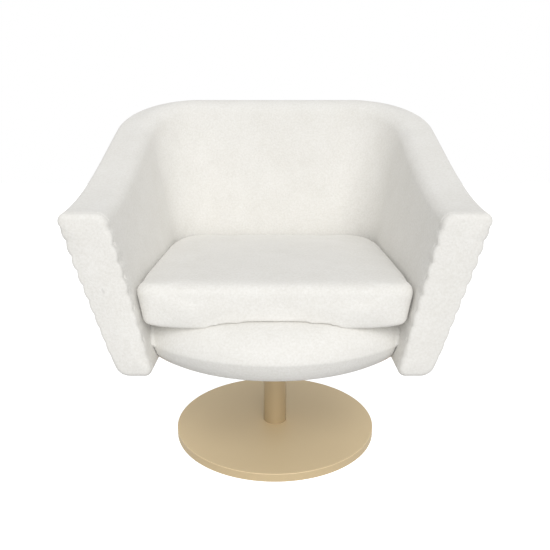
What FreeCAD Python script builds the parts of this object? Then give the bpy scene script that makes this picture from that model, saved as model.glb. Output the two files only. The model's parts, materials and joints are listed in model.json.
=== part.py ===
# Pedestal swivel armchair: an upholstered tub shell with a loose cushion,
# turning on a thrust bearing in a round column over a flat disc base.
# Millimetres, +Z up, the sitter looks along -Y, origin on the floor under the column axis.

import FreeCAD, Part
import Sketcher
import math
import os
import re

from FreeCAD import Vector

doc = FreeCAD.newDocument("armchair")
sheet = doc.addObject("Spreadsheet::Sheet", "Sizes")

# Driving dimensions
driving_sizes = [
    # disc base
    ("base_diameter", 500),
    ("base_height", 20),
    ("base_bevel", 1),
    ("cover_sheet", 1.5),
    ("cover_lift", 1),
    ("weight_gap", 0.5),
    ("hole_gap", 0.25),
    ("foot_plug_length", 25),
    ("base_bolt_diameter", 16),
    ("base_bolt_reach", 20),
    ("base_bolt_head_width", 24),
    ("base_bolt_head_height", 6),
    ("base_washer_diameter", 44),
    ("base_washer_thickness", 3),
    ("glide_height", 4),
    ("glide_diameter", 30),
    ("glide_circle", 400),
    ("glide_count", 5),
    ("centre_pad_diameter", 60),
    # column and bearing
    ("column_diameter", 58),
    ("column_wall", 2.5),
    ("press_gap", 0.02),
    ("running_gap", 0.05),
    ("bush_flange", 4),
    ("upper_bush_length", 34),
    ("lower_bush_length", 22),
    ("lower_bush_level", 110),
    ("spindle_diameter", 25),
    ("race_inner_diameter", 27),
    ("race_outer_diameter", 52),
    ("race_thickness", 3),
    ("roller_diameter", 3.5),
    ("roller_length", 8),
    ("roller_circle", 39),
    ("roller_count", 8),
    ("cage_width", 11.5),
    ("cage_thickness", 2.4),
    ("pocket_gap", 0.1),
    ("collar_diameter", 45),
    ("collar_height", 7),
    ("end_play", 0.3),
    ("keeper_diameter", 36),
    ("keeper_thickness", 3),
    ("keeper_bolt_diameter", 10),
    ("keeper_bolt_reach", 30),
    ("keeper_head_diameter", 17),
    ("keeper_head_height", 6),
    # swivel plate and its fixings
    ("plate_width", 180),
    ("plate_thickness", 5),
    ("plate_corner", 14),
    ("bolt_spacing", 132),
    ("bolt_diameter", 8),
    ("bolt_head_width", 13),
    ("bolt_head_height", 5.3),
    ("bolt_reach", 15),
    # seat board and deck
    ("seat_underside", 273),
    ("fabric", 2),
    ("board_thickness", 18),
    ("board_setback", 30),
    ("dust_sheet", 1),
    ("dust_margin", 22),
    ("dust_hole_margin", 6),
    ("deck_reach", 165),
    ("deck_height", 116),
    ("deck_nose_rise", 50),
    ("deck_nose_half_height", 25),
    ("deck_nose_fall", 4.5),
    ("deck_foot_bow", 5),
    ("deck_shoulder_bow", 5.5),
    ("deck_foot_setback", 28),
    ("deck_shoulder_setback", 34),
    ("deck_shoulder_drop", 17.5),
    ("deck_slope_setback", 66),
    ("deck_slope_drop", 6),
    ("deck_crown_setback", 110),
    ("fold_lap", 14),
    ("deck_side_gap", 0.8),
    # tub shell
    ("core_width", 370),
    ("core_depth", 185),
    ("arm_front", 291),
    ("wall_outer_bottom", 128),
    ("wall_outer_top", 228.5),
    ("wall_bottom_width", 70),
    ("wall_top_width_front", 96.5),
    ("wall_top_width_back", 84),
    ("rim_front", 601),
    ("rim_back", 826),
    ("rim_lead", 42),
    ("rim_outer_round", 15),
    ("rim_roll_front", 24),
    ("rim_roll_back", 45),
    ("hem_round", 20),
    ("shell_board_thickness", 12),
    ("outer_padding", 10),
    ("shell_board_drop", 50),
    ("shell_board_lift", 10),
    ("shell_board_lean", 0.15),
    ("post_depth", 30),
    ("post_width", 20),
    ("facing_depth", 13),
    ("facing_round", 11),
    ("trim_reach", 20),
    # loose cushion
    ("cushion_front_margin", 92),
    ("cushion_rear_margin", 79),
    ("cushion_front_setback", 1),
    ("cushion_rear_reach", 77),
    ("cushion_front_corner", 46),
    ("cushion_rear_corner", 100),
    ("cushion_sag", 15),
    ("cushion_widest_rise", 48),
    ("cushion_edge_rise", 66),
    ("cushion_draw_in", 28),
    ("cushion_edge_round", 21),
    ("cushion_crown", 8),
    ("cushion_crown_reach", 130),
    ("soft_gap", 0.4),
]
for row, (alias, value) in enumerate(driving_sizes, start=1):
    sheet.set(f"A{row}", alias)
    sheet.set(f"B{row}", str(value))
    sheet.setAlias(f"B{row}", alias)
doc.recompute()

alias_words = [alias for alias, value in driving_sizes]
alias_pattern = re.compile(r"\b(" + "|".join(alias_words) + r")\b")

# Levels and radii that several pieces share, as text for the expression engine
weight_top = "(base_height - cover_sheet)"
recess_top = "(glide_height + base_bolt_head_height + base_washer_thickness)"
tube_inner = "(column_diameter / 2 - column_wall)"
board_bottom = "(seat_underside + fabric)"
plate_bottom = f"({board_bottom} - plate_thickness)"
collar_bottom = f"({plate_bottom} - collar_height)"
upper_race_bottom = f"({collar_bottom} - race_thickness)"
lower_race_top = f"({upper_race_bottom} - roller_diameter - 2 * running_gap)"
bush_top = f"({lower_race_top} - race_thickness)"
tube_top = f"({bush_top} - bush_flange)"
roller_level = f"({lower_race_top} + running_gap + roller_diameter / 2)"
bush_bore = "(spindle_diameter / 2 + running_gap)"
spindle_end = "(lower_bush_level - end_play)"
keeper_bottom = f"({spindle_end} - keeper_thickness)"
bolt_place = ("bolt_spacing / 2", "bolt_spacing / 2")
bolt_count = "4"
deck_radius = "(core_width / 2 + deck_reach)"
deck_top = "(seat_underside + deck_height)"
board_front_radius = f"({deck_radius} - board_setback)"
board_half_width = ("(core_width / 2 + wall_outer_bottom - fabric - outer_padding"
                    " - shell_board_thickness - press_gap)")
board_rear = ("(core_depth + wall_outer_bottom - fabric - outer_padding"
              " - shell_board_thickness - press_gap)")


def bound(text):
    return alias_pattern.sub(r"Sizes.\1", text)


def size(text):
    return float(sheet.evalExpression(bound(text)))


# Parametric helpers

def start_body(label):
    body = doc.addObject("PartDesign::Body", label)
    body.Label = label
    if hasattr(body, "AllowCompound"):
        body.AllowCompound = True
    return body


def origin_item(body, role):
    return next(item for item in body.Origin.OriginFeatures if item.Role == role)


def start_sketch(body, role, level="0"):
    sketch = body.newObject("Sketcher::SketchObject", body.Name + "_sketch")
    sketch.AttachmentSupport = [(origin_item(body, role), "")]
    sketch.MapMode = "FlatFace"
    sketch.setExpression("AttachmentOffset.Base.z", bound(level))
    return sketch


def hold_point(sketch, geometry, point, across, up):
    # A point on an axis is held by that axis, any other by its distance to it.
    for kind, axis, text in (("DistanceX", -2, across), ("DistanceY", -1, up)):
        value = size(text)
        if abs(value) < 1e-9:
            sketch.addConstraint(Sketcher.Constraint("PointOnObject", geometry, point, axis))
        else:
            index = sketch.addConstraint(Sketcher.Constraint(kind, -1, 1, geometry, point, value))
            sketch.setExpression(f"Constraints[{index}]", bound(text))


def polygon_sketch(body, role, corners, level="0"):
    sketch = start_sketch(body, role, level)
    points = [Vector(size(across), size(up), 0) for across, up in corners]
    count = len(points)
    for index in range(count):
        sketch.addGeometry(Part.LineSegment(points[index], points[(index + 1) % count]))
    for index in range(count):
        sketch.addConstraint(Sketcher.Constraint("Coincident", index, 2, (index + 1) % count, 1))
    for index, (across, up) in enumerate(corners):
        hold_point(sketch, index, 1, across, up)
    return sketch


def circle_sketch(body, level, place, radii, role="XY_Plane"):
    # Circles about one place: the second, where there is one, is a hole in the first.
    sketch = start_sketch(body, role, level)
    centre = Vector(size(place[0]), size(place[1]), 0)
    for geometry, radius in enumerate(radii):
        sketch.addGeometry(Part.Circle(centre, Vector(0, 0, 1), size(radius)))
        hold_point(sketch, geometry, 3, place[0], place[1])
        index = sketch.addConstraint(Sketcher.Constraint("Radius", geometry, size(radius)))
        sketch.setExpression(f"Constraints[{index}]", bound(radius))
    return sketch


def hexagon_sketch(body, level, place, flats):
    # A hexagon by its width across flats.
    corners = []
    for index in range(6):
        across = f"{place[0]} + {flats} / sqrt(3) * cos({60 * index})"
        up = f"{place[1]} + {flats} / sqrt(3) * sin({60 * index})"
        corners.append((across, up))
    return polygon_sketch(body, "XY_Plane", corners, level)


def turned(label, corners):
    # A solid turned about the column axis from half its section.
    body = start_body(label)
    sketch = polygon_sketch(body, "XZ_Plane", corners)
    turn = body.newObject("PartDesign::Revolution", label + "_turn")
    turn.Profile = sketch
    turn.ReferenceAxis = (sketch, ["V_Axis"])
    turn.Angle = 360
    body.Tip = turn
    doc.recompute()
    return body


def pad_up(body, sketch, length):
    pad = body.newObject("PartDesign::Pad", body.Name + "_pad")
    pad.Profile = sketch
    pad.setExpression("Length", bound(length))
    body.Tip = pad
    doc.recompute()
    return pad


def pocket_up(body, sketch, length):
    pocket = body.newObject("PartDesign::Pocket", body.Name + "_pocket")
    pocket.Profile = sketch
    pocket.setExpression("Length", bound(length))
    pocket.Reversed = True
    body.Tip = pocket
    before = pocket.BaseFeature.Shape.Volume
    doc.recompute()
    if not pocket.Shape.Volume < before:
        raise RuntimeError(f"{body.Label}: a pocket cuts nothing")
    return pocket


def ring_of(body, features, count):
    pattern = body.newObject("PartDesign::PolarPattern", body.Name + "_ring")
    pattern.Originals = features
    pattern.Axis = (origin_item(body, "Z_Axis"), [""])
    pattern.Angle = 360
    if count in alias_words:
        pattern.setExpression("Occurrences", bound(count))
    else:
        pattern.Occurrences = int(count)
    body.Tip = pattern
    doc.recompute()
    return pattern


def stack_ring(label, place, count, stages):
    # Identical round pieces on a circle, each a stack of (bottom, length, radii) stages.
    body = start_body(label)
    features = []
    for bottom, length, *radii in stages:
        features.append(pad_up(body, circle_sketch(body, bottom, place, radii), length))
    ring_of(body, features, count)
    return body


def hole_ring(body, place, stages):
    features = []
    for bottom, length, radius in stages:
        features.append(pocket_up(body, circle_sketch(body, bottom, place, [radius]), length))
    ring_of(body, features, bolt_count)


def plain_feature(label, shape):
    feature = doc.addObject("Part::Feature", label)
    feature.Label = label
    feature.Shape = shape
    feature.Placement = FreeCAD.Placement()
    return feature


# Disc base

def make_base_cover():
    hole = "(column_diameter / 2 + hole_gap)"
    rim = "(base_diameter / 2)"
    return turned("base_cover", [
        (hole, "base_height"),
        (f"{rim} - base_bevel", "base_height"),
        (rim, "base_height - base_bevel"),
        (rim, "cover_lift"),
        (f"{rim} - cover_sheet", "cover_lift"),
        (f"{rim} - cover_sheet", weight_top),
        (hole, weight_top),
    ])


def make_base_weight():
    # The ballast disc, recessed below for the central bolt's washer and head.
    bore = "(base_bolt_diameter / 2 + hole_gap)"
    recess = "(base_washer_diameter / 2 + hole_gap)"
    rim = "(base_diameter / 2 - cover_sheet - weight_gap)"
    return turned("base_weight", [
        (bore, recess_top),
        (bore, weight_top),
        (rim, weight_top),
        (rim, "glide_height"),
        (recess, "glide_height"),
        (recess, recess_top),
    ])


def make_column_foot_plug():
    # The threaded plug that closes the tube's foot.
    thread = "(base_bolt_diameter / 2 + press_gap)"
    outer = f"({tube_inner} - press_gap)"
    top = f"{weight_top} + foot_plug_length"
    return turned("column_foot_plug", [
        (thread, weight_top),
        (outer, weight_top),
        (outer, top),
        (thread, top),
    ])


def make_base_washer():
    hole = "(base_bolt_diameter / 2 + hole_gap)"
    return turned("base_washer", [
        (hole, f"{recess_top} - base_washer_thickness"),
        ("base_washer_diameter / 2", f"{recess_top} - base_washer_thickness"),
        ("base_washer_diameter / 2", recess_top),
        (hole, recess_top),
    ])


def make_base_bolt():
    body = start_body("base_bolt")
    head = hexagon_sketch(body, "glide_height", ("0", "0"), "base_bolt_head_width")
    pad_up(body, head, "base_bolt_head_height")
    shank_bottom = "(glide_height + base_bolt_head_height)"
    shank = circle_sketch(body, shank_bottom, ("0", "0"), ["base_bolt_diameter / 2"])
    pad_up(body, shank, f"{weight_top} + base_bolt_reach - {shank_bottom}")
    return body


def make_floor_glides():
    return stack_ring("floor_glides", ("glide_circle / 2", "0"), "glide_count",
                      [("0", "glide_height", "glide_diameter / 2")])


def make_centre_pad():
    # Closes the central bolt's recess, level with the glides.
    body = start_body("centre_pad")
    circle = circle_sketch(body, "0", ("0", "0"), ["centre_pad_diameter / 2"])
    pad_up(body, circle, "glide_height")
    return body


# Column with its bearings

def make_column_tube():
    return turned("column_tube", [
        (tube_inner, weight_top),
        ("column_diameter / 2", weight_top),
        ("column_diameter / 2", tube_top),
        (tube_inner, tube_top),
    ])


def make_upper_bush():
    # A flanged bush: its flange closes the tube and carries the lower race.
    spigot = f"({tube_inner} - press_gap)"
    return turned("upper_bush", [
        (bush_bore, f"{bush_top} - upper_bush_length"),
        (spigot, f"{bush_top} - upper_bush_length"),
        (spigot, tube_top),
        ("column_diameter / 2", tube_top),
        ("column_diameter / 2", bush_top),
        (bush_bore, bush_top),
    ])


def make_lower_bush():
    spigot = f"({tube_inner} - press_gap)"
    top = "lower_bush_level + lower_bush_length"
    return turned("lower_bush", [
        (bush_bore, "lower_bush_level"),
        (spigot, "lower_bush_level"),
        (spigot, top),
        (bush_bore, top),
    ])


def make_race(label, bottom):
    return turned(label, [
        ("race_inner_diameter / 2", bottom),
        ("race_outer_diameter / 2", bottom),
        ("race_outer_diameter / 2", f"{bottom} + race_thickness"),
        ("race_inner_diameter / 2", f"{bottom} + race_thickness"),
    ])


def make_roller_cage():
    inner = "(roller_circle / 2 - cage_width / 2)"
    outer = "(roller_circle / 2 + cage_width / 2)"
    bottom = f"({roller_level} - cage_thickness / 2)"
    body = turned("roller_cage", [
        (inner, bottom),
        (outer, bottom),
        (outer, f"{bottom} + cage_thickness"),
        (inner, f"{bottom} + cage_thickness"),
    ])
    near = "(roller_circle / 2 - roller_length / 2 - pocket_gap)"
    far = "(roller_circle / 2 + roller_length / 2 + pocket_gap)"
    half = "(roller_diameter / 2 + pocket_gap)"
    window = [(near, f"-{half}"), (far, f"-{half}"), (far, half), (near, half)]
    pocket = pocket_up(body, polygon_sketch(body, "XY_Plane", window, bottom), "cage_thickness")
    ring_of(body, [pocket], "roller_count")
    return body


def make_rollers():
    # Needle rollers lying along the radii, between the two races.
    body = start_body("needle_rollers")
    sketch = circle_sketch(body, "roller_circle / 2 - roller_length / 2", ("0", roller_level),
                           ["roller_diameter / 2"], "YZ_Plane")
    roller = pad_up(body, sketch, "roller_length")
    ring_of(body, [roller], "roller_count")
    return body


def make_spindle():
    thread = "(keeper_bolt_diameter / 2 + press_gap)"
    thread_top = f"({spindle_end} + keeper_bolt_reach + hole_gap)"
    return turned("spindle", [
        ("0", thread_top),
        (thread, thread_top),
        (thread, spindle_end),
        ("spindle_diameter / 2", spindle_end),
        ("spindle_diameter / 2", collar_bottom),
        ("collar_diameter / 2", collar_bottom),
        ("collar_diameter / 2", plate_bottom),
        ("0", plate_bottom),
    ])


def make_spindle_keeper():
    hole = "(keeper_bolt_diameter / 2 + hole_gap)"
    return turned("spindle_keeper_washer", [
        (hole, keeper_bottom),
        ("keeper_diameter / 2", keeper_bottom),
        ("keeper_diameter / 2", spindle_end),
        (hole, spindle_end),
    ])


def make_keeper_bolt():
    head_bottom = f"({keeper_bottom} - keeper_head_height)"
    shank_top = f"({spindle_end} + keeper_bolt_reach)"
    return turned("spindle_keeper_bolt", [
        ("0", head_bottom),
        ("keeper_head_diameter / 2", head_bottom),
        ("keeper_head_diameter / 2", keeper_bottom),
        ("keeper_bolt_diameter / 2", keeper_bottom),
        ("keeper_bolt_diameter / 2", shank_top),
        ("0", shank_top),
    ])


# Swivel plate and its fixings

def make_swivel_plate():
    body = start_body("swivel_plate")
    half = "(plate_width / 2)"
    corners = [(half, half), (f"-{half}", half), (f"-{half}", f"-{half}"), (half, f"-{half}")]
    pad = pad_up(body, polygon_sketch(body, "XY_Plane", corners, plate_bottom), "plate_thickness")
    upright = [f"Edge{index}" for index, edge in enumerate(pad.Shape.Edges, start=1)
               if abs(edge.tangentAt(edge.FirstParameter).z) > 0.99]
    fillet = body.newObject("PartDesign::Fillet", "swivel_plate_corners")
    fillet.Base = (pad, upright)
    fillet.setExpression("Radius", bound("plate_corner"))
    body.Tip = fillet
    doc.recompute()
    hole_ring(body, bolt_place, [(plate_bottom, "plate_thickness", "bolt_diameter / 2 + hole_gap")])
    return body


def make_mounting_bolts():
    # Hexagon-head bolts from below, through the plate into the board.
    body = start_body("mounting_bolts")
    head_bottom = f"({plate_bottom} - bolt_head_height)"
    head = pad_up(body, hexagon_sketch(body, head_bottom, bolt_place, "bolt_head_width"),
                  "bolt_head_height")
    shank = pad_up(body, circle_sketch(body, plate_bottom, bolt_place, ["bolt_diameter / 2"]),
                   "plate_thickness + bolt_reach")
    ring_of(body, [head, shank], bolt_count)
    return body


# Boards under the seat

def rounded_board(label, radius, half_width, rear, corner, bottom, thickness):
    # Front edge on the deck's circle, straight sides and back, two rounded rear corners.
    body = start_body(label)
    sketch = start_sketch(body, "XY_Plane", bottom)
    big = size(radius)
    side = size(half_width)
    back = size(rear)
    front = -math.sqrt(big ** 2 - side ** 2)
    start_angle = math.atan2(front, -side) + 2 * math.pi
    end_angle = math.atan2(front, side) + 2 * math.pi
    circle = Part.Circle(Vector(0, 0, 0), Vector(0, 0, 1), big)
    sketch.addGeometry(Part.ArcOfCircle(circle, start_angle, end_angle))
    sketch.addGeometry(Part.LineSegment(Vector(side, front, 0), Vector(side, back, 0)))
    sketch.addGeometry(Part.LineSegment(Vector(side, back, 0), Vector(-side, back, 0)))
    sketch.addGeometry(Part.LineSegment(Vector(-side, back, 0), Vector(-side, front, 0)))
    for first, second in ((0, 1), (1, 2), (2, 3), (3, 0)):
        sketch.addConstraint(Sketcher.Constraint("Coincident", first, 2, second, 1))
    sketch.addConstraint(Sketcher.Constraint("Coincident", 0, 3, -1, 1))
    sketch.addConstraint(Sketcher.Constraint("Vertical", 1))
    sketch.addConstraint(Sketcher.Constraint("Vertical", 3))
    sketch.addConstraint(Sketcher.Constraint("Horizontal", 2))
    for kind, geometry, value, text in (
            ("DistanceX", 1, side, half_width),
            ("DistanceX", 3, -side, f"-{half_width}"),
            ("DistanceY", 2, back, rear)):
        index = sketch.addConstraint(Sketcher.Constraint(kind, -1, 1, geometry, 1, value))
        sketch.setExpression(f"Constraints[{index}]", bound(text))
    index = sketch.addConstraint(Sketcher.Constraint("Radius", 0, big))
    sketch.setExpression(f"Constraints[{index}]", bound(radius))
    pad = pad_up(body, sketch, thickness)
    rear_edges = [f"Edge{index}" for index, edge in enumerate(pad.Shape.Edges, start=1)
                  if abs(edge.CenterOfMass.y - back) < 0.01
                  and abs(abs(edge.CenterOfMass.x) - side) < 0.01]
    fillet = body.newObject("PartDesign::Fillet", label + "_corners")
    fillet.Base = (pad, rear_edges)
    fillet.setExpression("Radius", bound(corner))
    body.Tip = fillet
    doc.recompute()
    return body


def make_seat_board():
    corner = f"({board_rear} - core_depth)"
    body = rounded_board("seat_board", board_front_radius, board_half_width, board_rear,
                         corner, board_bottom, "board_thickness")
    hole_ring(body, bolt_place, [(board_bottom, "bolt_reach", "bolt_diameter / 2 + press_gap")])
    return body


def make_dust_cover():
    # A thin cloth over the folded edges of the fabric, open round the swivel plate.
    corner = f"({board_rear} - core_depth - dust_margin)"
    body = rounded_board("dust_cover", f"({board_front_radius} - dust_margin)",
                         f"({board_half_width} - dust_margin)", f"({board_rear} - dust_margin)",
                         corner, "seat_underside - dust_sheet", "dust_sheet")
    half = "(plate_width / 2 + dust_hole_margin)"
    corners = [(half, half), (f"-{half}", half), (f"-{half}", f"-{half}"), (half, f"-{half}")]
    pocket_up(body, polygon_sketch(body, "XY_Plane", corners, "seat_underside - dust_sheet"),
              "dust_sheet")
    return body


# Tub shell: one leaning wall section carried round a U of two arms, two corners and a back

def smooth_step(share):
    share = min(max(share, 0.0), 1.0)
    return share * share * (3 - 2 * share)


def rim_rise(run):
    # How far the rim has risen, by the length run along its outer edge from an arm's front.
    whole = size("arm_front + core_depth") + size("wall_outer_top") * math.pi / 2
    return smooth_step((run + size("rim_lead")) / whole)


def half_stations(side):
    # From an arm's front to the back's start: a station is the centre of the wall's turn,
    # the outward direction and the rise of the rim.
    run = size("arm_front + core_depth")
    arm_steps = 4
    corner_steps = 6
    stations = []
    for step in range(arm_steps):
        reach = run * step / arm_steps
        centre = Vector(side * size("core_width / 2"), reach - size("arm_front"), 0)
        stations.append((centre, Vector(side, 0, 0), rim_rise(reach)))
    centre = Vector(side * size("core_width / 2"), size("core_depth"), 0)
    for step in range(corner_steps + 1):
        turn = math.pi / 2 * step / corner_steps
        outward = Vector(side * math.cos(turn), math.sin(turn), 0)
        stations.append((centre, outward, rim_rise(run + size("wall_outer_top") * turn)))
    return stations


def wall_corners(rise):
    # The leaning wall's four corners, from the inner foot round to the inner top,
    # as distances out from the core line and heights, with their rounding radii.
    foot = size("seat_underside")
    rim = size("rim_front") + (size("rim_back") - size("rim_front")) * rise
    outer_foot = size("wall_outer_bottom")
    outer_top = size("wall_outer_top")
    front_width = size("wall_top_width_front")
    top_width = front_width + (size("wall_top_width_back") - front_width) * rise
    roll = size("rim_roll_front") + (size("rim_roll_back") - size("rim_roll_front")) * rise
    corners = [
        (outer_foot - size("wall_bottom_width"), foot),
        (outer_foot, foot),
        (outer_top, rim),
        (outer_top - top_width, rim),
    ]
    return corners, [size("hem_round"), size("hem_round"), size("rim_outer_round"), roll]


def unit(start, end):
    across = end[0] - start[0]
    up = end[1] - start[1]
    length = math.hypot(across, up)
    return across / length, up / length


def moved_in(corners, distance):
    # The same outline with every side moved in by one distance.
    result = []
    for index, here in enumerate(corners):
        first = unit(corners[index - 1], here)
        second = unit(here, corners[(index + 1) % len(corners)])
        share = distance / (first[0] * second[1] - first[1] * second[0])
        result.append((here[0] + share * (second[0] - first[0]),
                       here[1] + share * (second[1] - first[1])))
    return result


def outline_pieces(corners, radii):
    # Arc, side, arc, side and so on: an arc has three points and a side two.
    arcs = []
    for index, here in enumerate(corners):
        back = unit(here, corners[index - 1])
        on = unit(here, corners[(index + 1) % len(corners)])
        half_angle = math.acos(back[0] * on[0] + back[1] * on[1]) / 2
        trim = radii[index] / math.tan(half_angle)
        reach = radii[index] / math.sin(half_angle) - radii[index]
        middle = unit((0, 0), (back[0] + on[0], back[1] + on[1]))
        arcs.append(((here[0] + back[0] * trim, here[1] + back[1] * trim),
                     (here[0] + middle[0] * reach, here[1] + middle[1] * reach),
                     (here[0] + on[0] * trim, here[1] + on[1] * trim)))
    pieces = []
    for index, arc in enumerate(arcs):
        pieces.append(arc)
        pieces.append((arc[2], arcs[(index + 1) % len(arcs)][0]))
    return pieces


def cut_points(pieces, cuts):
    # The points along some of an outline's pieces, each arc as a number of straight cuts.
    points = [pieces[0][0]]
    for piece, count in zip(pieces, cuts):
        if len(piece) == 3:
            arc = Part.Arc(*[Vector(across, 0, up) for across, up in piece])
            points.extend((point.x, point.z) for point in arc.discretize(Number=count + 1)[1:])
        else:
            points.append(piece[1])
    return points


# Straight cuts for each of the wall's pieces: finer on the fabric than on the trimmed foam.
fabric_cut_count = [3, 1, 3, 1, 3, 1, 4, 1]
foam_cut_count = [1, 1, 1, 1, 1, 1, 2, 1]


def wall_pieces(station, inset):
    corners, radii = wall_corners(station[2])
    return outline_pieces(moved_in(corners, inset), [radius - inset for radius in radii])


def foam_outline(station):
    return cut_points(wall_pieces(station, size("fabric")), foam_cut_count)[:-1]


def skin_outline(station, order):
    # The fabric over some of the wall's pieces, down to the trimmed foam.
    surface = wall_pieces(station, 0)
    under = wall_pieces(station, size("fabric"))
    outer = cut_points([surface[index] for index in order],
                       [fabric_cut_count[index] for index in order])
    inner = cut_points([under[index] for index in order],
                       [foam_cut_count[index] for index in order])
    return outer + inner[::-1]


def at_level(low, high, level):
    share = (level - low[1]) / (high[1] - low[1])
    return low[0] + (high[0] - low[0]) * share


def board_outline(station, depth, width):
    # Flat ply bends only into planes and cones, so the bent board keeps one lean all round.
    rim = wall_corners(station[2])[0][2][1]
    base = size(board_bottom)
    foot = base + size("shell_board_lift")
    top = rim - size("shell_board_drop")
    lean = size("shell_board_lean")
    low = size("wall_outer_bottom") - depth + (foot - base) * lean
    high = size("wall_outer_bottom") - depth + (top - base) * lean
    return [(low - width, foot), (low, foot), (high, top), (high - width, top)]


def outside_outline(station):
    # Everything outside the wall's inner face, to trim what lies between the arms.
    corners, radii = wall_corners(station[2])
    low = size("seat_underside - trim_reach")
    high = size(f"{deck_top} + trim_reach")
    far = size("wall_outer_top + trim_reach")
    gap = size("deck_side_gap")
    return [(at_level(corners[0], corners[3], low) - gap, low), (far, low),
            (far, high), (at_level(corners[0], corners[3], high) - gap, high)]


def split_side(front, back):
    # Two triangles between two stations, always along the same diagonal, so that pieces
    # which lie against each other match.
    first, second = 0, 1
    if (front[0].z, front[0].Length) > (front[1].z, front[1].Length):
        first, second = second, first
    return [(front[first], front[second], back[first]), (front[second], back[second], back[first])]


def around_shell(outline):
    # A closed solid of flat triangles through the outline at every station.
    stations = half_stations(1) + half_stations(-1)[::-1]
    rings = [[centre + outward * across + Vector(0, 0, up)
              for across, up in outline((centre, outward, rise))]
             for centre, outward, rise in stations]
    triangles = []
    for index in range(len(rings) - 1):
        near, far = rings[index], rings[index + 1]
        if index >= len(rings) // 2:
            near, far = far, near
        for place in range(len(near)):
            follower = (place + 1) % len(near)
            triangles.extend(split_side((near[place], near[follower]), (far[place], far[follower])))
    faces = [Part.Face(Part.makePolygon([*corners, corners[0]])) for corners in triangles]
    faces += [Part.Face(Part.makePolygon(ring + ring[:1])) for ring in (rings[0], rings[-1])]
    solid = Part.Solid(Part.Shell(faces))
    if solid.Volume < 0:
        solid.reverse()
    return solid


def make_arm_post(side):
    # A wooden post behind the arm's front, against the inside of the bent board.
    depth = size("fabric + outer_padding + shell_board_thickness + press_gap")
    centre, outward, rise = half_stations(side)[0]
    points = board_outline((centre, outward, rise), depth, size("post_width"))
    corners = [centre + outward * across + Vector(0, 0, up) for across, up in points]
    front = Part.Face(Part.makePolygon(corners + corners[:1]))
    return front.extrude(Vector(0, size("post_depth"), 0))


def make_arm_facing(side):
    # The padded front of an arm, with its front edge rounded in short straight steps.
    station = half_stations(side)[0]
    front = size("arm_front + facing_depth")
    round_steps = 3
    stages = [(0, -size("arm_front"))]
    for step in range(round_steps + 1):
        turn = math.pi / 2 * step / round_steps
        inset = size("facing_round") * (1 - math.cos(turn))
        stages.append((inset, size("facing_round") * (1 - math.sin(turn)) - front))
    outlines = []
    for inset, level in stages:
        points = cut_points(wall_pieces(station, inset), fabric_cut_count)
        outlines.append(Part.makePolygon([
            Vector(side * (size("core_width / 2") + across), level, up) for across, up in points]))
    return Part.makeLoft(outlines, True, True)


# Padded disc under the cushion

def bowed(start, end, bow):
    chord = (end - start).normalize()
    return (start + end) * 0.5 + Vector(chord.z, 0, -chord.x) * bow


def deck_form(inset):
    # Flat below, with a rounded foot, a full nose and a low crown, all in short straight cuts.
    # The foam inside leaves out the bowed points.
    floor = size("seat_underside") + inset
    rim = size(deck_radius)
    top = size(deck_top) - inset
    nose = Vector(rim - inset, 0, size("seat_underside + deck_nose_rise"))
    below = Vector(nose.x - size("deck_nose_fall"), 0, nose.z - size("deck_nose_half_height"))
    above = Vector(nose.x - size("deck_nose_fall"), 0, nose.z + size("deck_nose_half_height"))
    foot = Vector(rim - size("deck_foot_setback"), 0, floor)
    shoulder = Vector(rim - size("deck_shoulder_setback"), 0, top - size("deck_shoulder_drop"))
    slope = Vector(rim - size("deck_slope_setback"), 0, top - size("deck_slope_drop"))
    crown = Vector(rim - size("deck_crown_setback"), 0, top)
    corners = [Vector(0, 0, floor), foot, below, above, shoulder, crown, Vector(0, 0, top)]
    if inset == 0:
        foot_bow = bowed(foot, below, size("deck_foot_bow"))
        shoulder_bow = bowed(above, shoulder, size("deck_shoulder_bow"))
        corners = [corners[0], foot, foot_bow, below, nose, above, shoulder_bow, shoulder,
                   slope, crown, corners[-1]]
    section = Part.Face(Part.makePolygon(corners + corners[:1]))
    return section.revolve(Vector(0, 0, 0), Vector(0, 0, 1), 360)


def folded_edge():
    # What the fabric leaves open below, inside the edge that is folded under the board.
    low = size("seat_underside - trim_reach")
    return Part.makeCylinder(size(f"{board_front_radius} - dust_margin - fold_lap"),
                             size("trim_reach + fabric"), Vector(0, 0, low))


def largest(shape):
    return max(shape.Solids, key=lambda solid: solid.Volume)


# Loose cushion: plan outlines stacked up its height

def cushion_plan(drawn, level, cut_count):
    whole_width = size("core_width / 2 + cushion_front_margin")
    front_width = whole_width - drawn
    rear_width = size("core_width / 2 + cushion_rear_margin") - drawn
    front = drawn - size("arm_front - cushion_front_setback")
    rear = size("core_depth + cushion_rear_reach") - drawn
    corners = [(-front_width, front), (front_width, front), (rear_width, rear), (-rear_width, rear)]
    front_corner = size("cushion_front_corner") * front_width / whole_width
    rear_corner = size("cushion_rear_corner") * front_width / whole_width
    pieces = outline_pieces(corners, [front_corner, front_corner, rear_corner, rear_corner])
    points = cut_points(pieces, [cut_count, 1] * len(corners))
    return Part.makePolygon([Vector(across, up, level) for across, up in points])


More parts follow.
